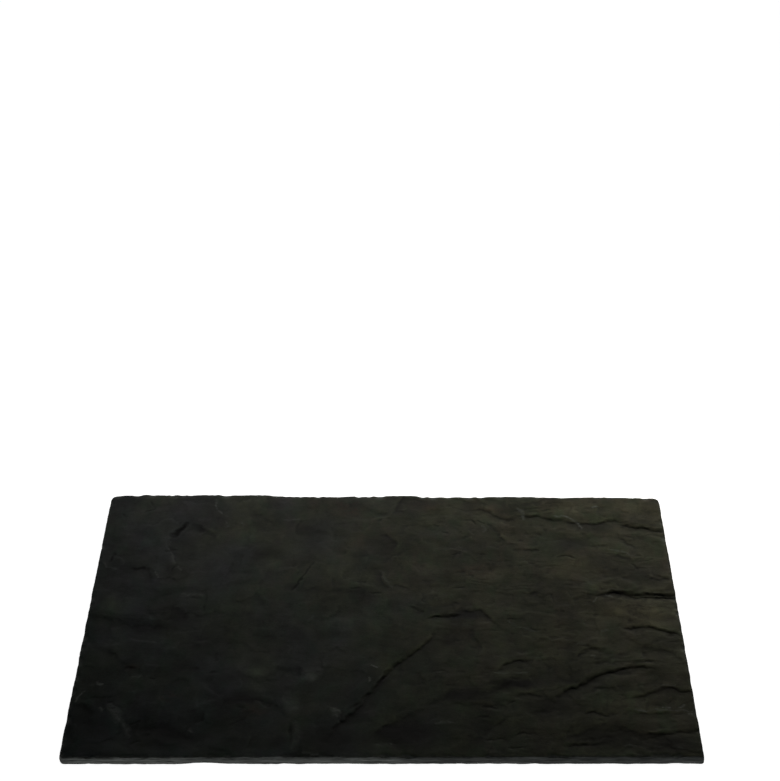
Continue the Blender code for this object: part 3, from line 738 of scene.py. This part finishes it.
def build_points():
    """All points of the plate, its faces, and the attributes of each point."""
    x, y, gap_x, gap_y = plan_grid()
    shape = x.shape
    rim = rim_places()
    rim_x, rim_y = x[rim], y[rim]
    outward = outward_directions(rim_x, rim_y)
    x, y, gap_x, gap_y = x.ravel(), y.ravel(), gap_x.ravel(), gap_y.ravel()
    reliefs = face_reliefs(x, y, gap_x, gap_y, rim_x, rim_y)
    height, under_height = (relief.height.reshape(shape) for relief in reliefs)
    # Crests are painted lighter as painted highlight, and hollows darker as painted shade.
    ridge = clamp((height - blurred(height, RIDGE_REACH)) / RIDGE_HEIGHT, -1.0, 1.0)

    top_numbers = np.arange(x.size).reshape(shape)
    under_numbers = top_numbers + x.size
    rings = [top_numbers[rim]]
    points = [np.stack((*drawn_in(x, y, gap_x, gap_y, relief.height, layer), relief.height), axis=1)
              for relief, layer in zip(reliefs, (1.0, 0.0))]
    count = 2 * x.size
    for layer in range(LAYERS - 1, 0, -1):
        ring = band_point(rim_x, rim_y, outward, under_height[rim], height[rim], layer / LAYERS)
        points.append(np.stack(ring, axis=1))
        rings.append(np.arange(count, count + len(rim_x)))
        count += len(rim_x)
    rings.append(under_numbers[rim])
    for face_points, layer in zip(points, (1.0, 0.0)):
        ring = band_point(rim_x, rim_y, outward, under_height[rim], height[rim], layer)
        face_points[top_numbers[rim]] = np.stack(ring, axis=1)

    faces = [grid_faces(top_numbers), grid_faces(under_numbers)[:, ::-1]]
    for upper, lower in zip(rings, rings[1:]):
        faces.append(np.stack((upper, lower, np.roll(lower, -1), np.roll(upper, -1)), axis=1))

    band = np.zeros(count - 2 * x.size)
    attributes = {name: np.concatenate([getattr(relief, name) for relief in reliefs] + [band])
                  for name in ("dark", "pale", "shade", "facet")}
    attributes["ridge"] = np.concatenate((ridge.ravel(), np.zeros(x.size), band))
    attributes["broken"] = np.concatenate((np.zeros(2 * x.size), band + 1.0))
    attributes["broken"][rings[0]] = attributes["broken"][rings[-1]] = 1.0
    return np.concatenate(points), np.concatenate(faces), attributes


def build_mesh():
    points, faces, attributes = build_points()
    mesh = bpy.data.meshes.new(NODE)
    mesh.vertices.add(len(points))
    mesh.vertices.foreach_set("co", (points * MM).ravel())
    mesh.loops.add(faces.size)
    mesh.loops.foreach_set("vertex_index", faces.ravel())
    mesh.polygons.add(len(faces))
    mesh.polygons.foreach_set("loop_start", np.arange(0, faces.size, 4))
    mesh.update(calc_edges=True)
    for name, values in attributes.items():
        mesh.attributes.new(name, 'FLOAT', 'POINT').data.foreach_set("value", values)
    return mesh


def read_out(parts, name, width, kind=float):
    """One property of all vertices, loops or faces, as an array."""
    values = np.empty(len(parts) * width, dtype=kind)
    parts.foreach_get(name, values)
    return values.reshape(-1, width) if width > 1 else values


def thin_out(slab):
    """Take away triangles where the surface is nearly flat."""
    modifier = slab.modifiers.new("thin out", 'DECIMATE')
    modifier.ratio = MOST_TRIANGLES / (2 * len(slab.data.polygons))
    thinned = bpy.data.meshes.new_from_object(slab.evaluated_get(bpy.context.evaluated_depsgraph_get()))
    slab.modifiers.clear()
    slab.data = thinned


def fit_to_frame(mesh):
    """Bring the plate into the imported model's box."""
    places = read_out(mesh.vertices, "co", 3) / MM
    low, high = places.min(axis=0), places.max(axis=0)
    middle = (low + high) / 2
    goal = (np.array(LOW) + np.array(HIGH)) / 2
    scale = (np.array(HIGH) - np.array(LOW)) / (high - low)
    places = (places - middle) * scale + goal
    mesh.vertices.foreach_set("co", (places * MM).ravel())
    mesh.update()


def lay_out_map(mesh):
    """Lay the top across the full width of the map, and below it the long edges, the underside at a
    smaller scale and the short edges."""
    size = HIGH - LOW
    scale = (1.0 - 2 * MAP_MARGIN) / size.x
    strip = EDGE_STRETCH * scale * size.z
    front_v = 1.0 - 2 * MAP_MARGIN - scale * size.y - strip
    rear_v, right_v, left_v = (front_v - step * (MAP_MARGIN + strip) for step in (1, 2, 3))
    under_scale = (rear_v - 2 * MAP_MARGIN) / size.y
    ends_u = 2 * MAP_MARGIN + under_scale * size.x
    ends_scale = (1.0 - MAP_MARGIN - ends_u) / size.y

    normals = read_out(mesh.polygons, "normal", 3)
    centres = read_out(mesh.polygons, "center", 3) / MM
    counts = read_out(mesh.polygons, "loop_total", 1, int)
    corners = read_out(mesh.loops, "vertex_index", 1, int)
    broken = read_out(mesh.attributes["broken"].data, "value", 1)[corners]
    starts = np.cumsum(counts) - counts
    on_edge = (np.add.reduceat(broken, starts) / counts > 0.9) & (np.abs(normals[:, 2]) < 0.8)

    # The part of the map each face belongs to: 0 to 3 for the left, right, front and rear edges, 4
    # for the top and 5 for the underside.
    facing = np.stack((-normals[:, 0], normals[:, 0], -normals[:, 1], normals[:, 1]))
    nearer, farther = centres - np.array(LOW), np.array(HIGH) - centres
    gaps = np.stack((nearer[:, 0], farther[:, 0], nearer[:, 1], farther[:, 1]))
    part = np.where(on_edge, np.argmax(facing - 0.1 * gaps, axis=0), np.where(normals[:, 2] > 0.0, 4, 5))
    part = np.repeat(part, counts)

    x, y, z = (read_out(mesh.vertices, "co", 3)[corners] / MM - np.array(LOW)).T
    up = EDGE_STRETCH * scale * z
    back_x, back_y = size.x - x, size.y - y
    across = (ends_u + ends_scale * back_y, ends_u + ends_scale * y, MAP_MARGIN + scale * x,
              MAP_MARGIN + scale * back_x, MAP_MARGIN + scale * x, MAP_MARGIN + under_scale * back_x)
    upward = (left_v + up, right_v + up, front_v + up, rear_v + up,
              1.0 - MAP_MARGIN - scale * back_y, MAP_MARGIN + under_scale * y)
    spots = np.stack((np.choose(part, across), np.choose(part, upward)), axis=1)
    mesh.uv_layers.new(name="OFBake").data.foreach_set("uv", spots.ravel())


def make_slab():
    slab = bpy.data.objects.new("slate_slab_riven", build_mesh())
    bpy.context.scene.collection.objects.link(slab)
    thin_out(slab)
    fit_to_frame(slab.data)
    lay_out_map(slab.data)
    slab.data.shade_smooth()
    slab.data.set_sharp_from_angle(angle=math.radians(ARRIS_ANGLE))
    return slab


# The colours of the rock, its rust and khaki patches, the painted shade of its clefts, its pale bruises and
# painted highlights, its broken edges, and the tints laid over it.
COOL_SLATE = (0.0172, 0.0187, 0.0187, 1)
OLIVE_SLATE = (0.0235, 0.0255, 0.0140, 1)
BROWN_SLATE = (0.0310, 0.0290, 0.0165, 1)
COOL_TINT, GREEN_TINT, PURPLE_TINT = (0.76, 0.92, 0.88, 1), (0.82, 1.02, 0.92, 1), (1.07, 0.96, 1.08, 1)
KHAKI_SHEEN, RUST = (0.0440, 0.0395, 0.0230, 1), (0.0480, 0.0185, 0.0125, 1)
CLEFT_SHADE, BRUISE_AND_HIGHLIGHT = (0.0016, 0.0016, 0.0010, 1), (0.130, 0.138, 0.130, 1)
DARK_CUT, PALE_CUT = (0.018, 0.020, 0.018, 1), (0.092, 0.098, 0.093, 1)


class Nodes:
    """Short calls for making and linking the nodes of one material or world."""

    def __init__(self, tree):
        self.tree = tree

    def add(self, kind, inputs=None, **settings):
        node = self.tree.nodes.new(kind)
        for name, value in settings.items():
            setattr(node, name, value)
        for name, value in (inputs or {}).items():
            if isinstance(value, bpy.types.NodeSocket):
                self.tree.links.new(value, node.inputs[name])
            else:
                node.inputs[name].default_value = value
        return node

    def math(self, operation, first, second=0.0, third=0.0, clamped=False):
        return self.add('ShaderNodeMath', {0: first, 1: second, 2: third}, operation=operation,
                        use_clamp=clamped).outputs[0]

    def mix(self, factor, first, second, blend='MIX'):
        return self.add('ShaderNodeMix', {"Factor": factor, 6: first, 7: second}, data_type='RGBA',
                        blend_type=blend).outputs[2]

    def ramp(self, value, stops):
        """The colour at value between the stops, each a place from 0 to 1 and its colour."""
        node = self.add('ShaderNodeValToRGB', {0: value})
        for place, _ in stops[1:-1]:
            node.color_ramp.elements.new(place)
        for element, (place, colour) in zip(node.color_ramp.elements, stops):
            element.position, element.color = place, colour
        return node.outputs[0]

    def scaled(self, colour, factor):
        return self.add('ShaderNodeVectorMath', {0: colour, "Scale": factor}, operation='SCALE').outputs[0]

    def attribute(self, name):
        return self.add('ShaderNodeAttribute', attribute_name=name).outputs["Fac"]

    def spread(self, value, low, high, to_low=0.0, to_high=1.0):
        """value spread from low..high to to_low..to_high, and held within them."""
        return self.add('ShaderNodeMapRange', {"Value": value, "From Min": low, "From Max": high,
                                               "To Min": to_low, "To Max": to_high}).outputs[0]

    def noise(self, places, grain, detail=3.0, roughness=0.55, offset=0.0):
        """Noise over places given in millimetres, with features of this length along X, Y and Z."""
        scale = [1.0 / size for size in grain]
        scaled = self.add('ShaderNodeVectorMath', {0: places, 1: scale, 2: (offset,) * 3},
                          operation='MULTIPLY_ADD').outputs[0]
        return self.add('ShaderNodeTexNoise', {"Vector": scaled, "Scale": 1.0, "Detail": detail,
                                               "Roughness": roughness}).outputs["Fac"]


def slate_colour(nodes, places):
    """The colour of the rock, from the kinds of rock mixed over the plate and the marks on it, with painted
    shade and painted highlights laid in.
    """
    patches = nodes.noise(places, (30, 44, 30), 2.0)
    # warm and cool make the colour brighter and warmer towards the right and rear and darker and cooler
    # towards the front left: partly the rock's colour, partly painted light.
    hue = nodes.math('ADD', nodes.spread(patches, 0.35, 0.65, -0.22, 0.22), nodes.attribute("warm"))
    colour = nodes.ramp(hue, ((0.0, COOL_SLATE), (0.5, OLIVE_SLATE), (1.0, BROWN_SLATE)))
    colour = nodes.mix(nodes.attribute("cool"), colour, COOL_TINT, 'MULTIPLY')
    for offset, grain, tint in ((55.0, (9, 16, 9), GREEN_TINT), (21.0, (10, 15, 9), PURPLE_TINT)):
        where = nodes.spread(nodes.noise(places, grain, 2.0, 0.5, offset), 0.50, 0.64)
        colour = nodes.mix(where, colour, tint, 'MULTIPLY')
    # The khaki patches are partly the rock's colour and partly painted sheen.
    colour = nodes.mix(nodes.math('MULTIPLY', nodes.attribute("khaki_sheen"), 0.75), colour, KHAKI_SHEEN)
    rust_grain = nodes.spread(nodes.noise(places, (5, 4, 4), 4.0, 0.65, 90.0), 0.35, 0.7)
    rust = nodes.math('MULTIPLY', nodes.attribute("rust"), rust_grain, clamped=True)
    colour = nodes.mix(rust, colour, RUST)

    mottle = nodes.noise(places, (7, 11, 6), 3.0, 0.6, 7.0)
    broad = nodes.noise(places, (22, 30, 20), 2.0, 0.5, 61.0)
    speckle = nodes.noise(places, (0.9, 0.6, 0.6), 3.0, 0.6, 3.0)
    # The tone is the rock's own random mottle, speckle and difference from face to face, with painted
    # highlight on crests and painted shade in hollows added in.
    tone_and_shade = nodes.math('MULTIPLY', nodes.attribute("facet"), 0.25)
    for part in (nodes.spread(mottle, 0.3, 0.7, -0.25, 0.25), nodes.spread(broad, 0.35, 0.65, -0.22, 0.22),
                 nodes.spread(speckle, 0.3, 0.75, 0.85, 1.25),
                 nodes.spread(nodes.attribute("ridge"), -1.0, 1.0, -0.35, 0.35)):
        tone_and_shade = nodes.math('ADD', tone_and_shade, part)
    # The shade attribute darkens the colour as painted shade above 0 and lightens it as painted highlight
    # below 0.
    tone_and_shade = nodes.math('MULTIPLY', tone_and_shade, nodes.spread(nodes.attribute("shade"), -1.6, 1.0, 2.6, 0.0))
    # Clefts, grooves, pits and small steps are mixed towards near black: painted shade.
    cleft = nodes.math('MULTIPLY', nodes.attribute("dark"), 0.85)
    colour = nodes.mix(cleft, nodes.scaled(colour, tone_and_shade), CLEFT_SHADE)

    # The pale marks are bruises and veins, and painted highlights.
    pale_grain = nodes.spread(nodes.noise(places, (1.6, 1.2, 1.0), 4.0, 0.7, 33.0), 0.25, 0.6, 0.35, 1.0)
    colour = nodes.mix(nodes.math('MULTIPLY', nodes.attribute("pale"), pale_grain), colour, BRUISE_AND_HIGHLIGHT)
    cut = nodes.spread(nodes.noise(places, (8, 8, 0.9), 4.0, 0.65, 70.0), 0.3, 0.7)
    cut_colour = nodes.scaled(nodes.mix(cut, DARK_CUT, PALE_CUT), nodes.attribute("edge_tone"))
    return nodes.mix(nodes.attribute("broken"), colour, cut_colour)


def slate_material():
    material = bpy.data.materials.new("slate")
    material.use_nodes = True
    material.node_tree.nodes.clear()
    nodes = Nodes(material.node_tree)
    here = nodes.add('ShaderNodeTexCoord').outputs["Object"]
    places = nodes.add('ShaderNodeVectorMath', {0: here, 1: (1 / MM,) * 3}, operation='MULTIPLY').outputs[0]

    fine = nodes.noise(places, (1.1, 0.8, 0.5), 5.0, 0.7, 11.0)
    coarse = nodes.noise(places, (4.5, 2.2, 1.2), 4.0, 0.6, 17.0)
    heights = nodes.math('ADD', nodes.math('MULTIPLY', fine, 0.35), nodes.math('MULTIPLY', coarse, 0.65))
    bump = nodes.add('ShaderNodeBump', {"Strength": 0.55, "Distance": 0.25 * MM, "Height": heights})

    gloss = nodes.noise(places, (14, 9, 6), 4.0, 0.65, 40.0)
    roughness = nodes.spread(gloss, 0.3, 0.7, 0.52, 0.64)
    for name, gain in (("facet", -0.03), ("pale", 0.25), ("dark", 0.25), ("broken", 0.2)):
        more = nodes.math('MULTIPLY', nodes.attribute(name), gain)
        roughness = nodes.math('ADD', roughness, more, clamped=True)
    shader = nodes.add('ShaderNodeBsdfPrincipled', {
        "Base Color": slate_colour(nodes, places), "Roughness": roughness, "Normal": bump.outputs[0],
        "Specular IOR Level": 0.06, "Metallic": 0.0})
    nodes.add('ShaderNodeOutputMaterial', {"Surface": shader.outputs[0]})
    return material


def colour_slab(mesh):
    """Attributes that don't shape the mesh are worked out on its finished points."""
    x, y, _ = np.ascontiguousarray(read_out(mesh.vertices, "co", 3).T) / MM
    edge_tone = np.where(y < 4.0 - DEPTH / 2, interpolate(FRONT_EDGE_TONE, x), 1.0)
    # warm grows towards the right and rear, and cool towards the front left: partly the rock's own colour,
    # partly painted light, brighter and warmer near the rear lamps and darker and cooler away from them.
    for name, values in (("rust", patch_sum(RUST_STAINS, x, y)),
                         ("khaki_sheen", patch_sum(KHAKI_AND_SHEEN_PATCHES, x, y)),
                         ("edge_tone", edge_tone),
                         ("warm", 0.42 + 0.0027 * x + 0.0010 * y),
                         ("cool", clamp(0.35 - 0.005 * y - 0.003 * x))):
        mesh.attributes.new(name, 'FLOAT', 'POINT').data.foreach_set("value", values)
    mesh.materials.append(slate_material())


FLOOR_SIZE = 12.0               # in metres, like the places and the sizes of the lights
FLOOR_GAP = 0.05 * MM           # how far the floor lies below the slab
FLOOR_GLOW = 0.97               # the floor is lit from within, so that it stays white under a low light


def make_floor():
    bpy.ops.mesh.primitive_plane_add(size=FLOOR_SIZE, location=(0.0, 0.0, -FLOOR_GAP))
    floor = bpy.context.object
    floor.name = "studio_floor"
    material = bpy.data.materials.new("studio_floor")
    material.use_nodes = True
    shader = material.node_tree.nodes["Principled BSDF"]
    for name, value in (("Base Color", (0.9, 0.9, 0.9, 1.0)), ("Roughness", 0.9), ("Specular IOR Level", 0.0),
                        ("Emission Color", (1.0, 1.0, 1.0, 1.0)), ("Emission Strength", FLOOR_GLOW)):
        shader.inputs[name].default_value = value
    floor.data.materials.append(material)


def make_world():
    """A pale horizon under a dim sky, so that the slate has little to mirror."""
    world = bpy.data.worlds.new("studio")
    bpy.context.scene.world = world
    world.use_nodes = True
    world.node_tree.nodes.clear()
    nodes = Nodes(world.node_tree)
    direction = nodes.add('ShaderNodeTexCoord').outputs["Generated"]
    rise = nodes.add('ShaderNodeSeparateXYZ', {0: direction}).outputs["Z"]
    strength = nodes.spread(rise, 0.03, 0.22, 0.95, 0.03)
    background = nodes.add('ShaderNodeBackground', {"Color": (0.97, 0.98, 1.0, 1.0), "Strength": strength})
    nodes.add('ShaderNodeOutputWorld', {"Surface": background.outputs[0]})


def add_softbox(name, place, size, power, colour):
    """A rectangular light of this width and height at a place, facing the slab."""
    light = bpy.data.lights.new(name, 'AREA')
    light.shape = 'RECTANGLE'
    light.size, light.size_y = size
    light.energy = power
    light.color = colour
    lamp = bpy.data.objects.new(name, light)
    lamp.location = place
    lamp.rotation_euler = (-Vector(place)).to_track_quat("-Z", "Y").to_euler()
    lamp.visible_camera = False
    bpy.context.scene.collection.objects.link(lamp)


def make_lights():
    add_softbox("overhead", (0.0, -0.6, 2.4), (2.2, 2.2), 0.6, (0.92, 0.97, 1.0))
    add_softbox("rear left", (-0.06, 0.26, 0.12), (0.26, 0.18), 0.25, (1.0, 0.99, 0.97))
    add_softbox("rear right", (0.20, 0.26, 0.12), (0.30, 0.18), 0.44, (1.0, 0.965, 0.80))


# The camera, worked out from the perspective of the slab's outline.
CAMERA_PLACE = (11.8, -752.4, 654.7)
CAMERA_PITCH, CAMERA_YAW, CAMERA_ROLL = 34.27, 0.58, -0.34    # degrees
CAMERA_LENS, CAMERA_SENSOR = 90.0, 36.0
NEAREST = 10.0                  # nothing nearer to the camera than this is drawn


def make_camera():
    data = bpy.data.cameras.new("camera")
    data.lens = CAMERA_LENS
    data.sensor_width = CAMERA_SENSOR
    data.clip_start = NEAREST * MM
    camera = bpy.data.objects.new("camera", data)
    turn = (Matrix.Rotation(math.radians(CAMERA_YAW), 4, 'Z')
            @ Matrix.Rotation(math.radians(90.0 - CAMERA_PITCH), 4, 'X')
            @ Matrix.Rotation(math.radians(CAMERA_ROLL), 4, 'Z'))
    camera.matrix_world = Matrix.Translation(Vector(CAMERA_PLACE) * MM) @ turn
    bpy.context.scene.collection.objects.link(camera)
    bpy.context.scene.camera = camera


make_camera()
make_world()
make_lights()
make_floor()

slab = make_slab()
colour_slab(slab.data)
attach(slab, "root")
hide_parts(NODE)

bpy.context.scene.view_settings.view_transform = 'Standard'
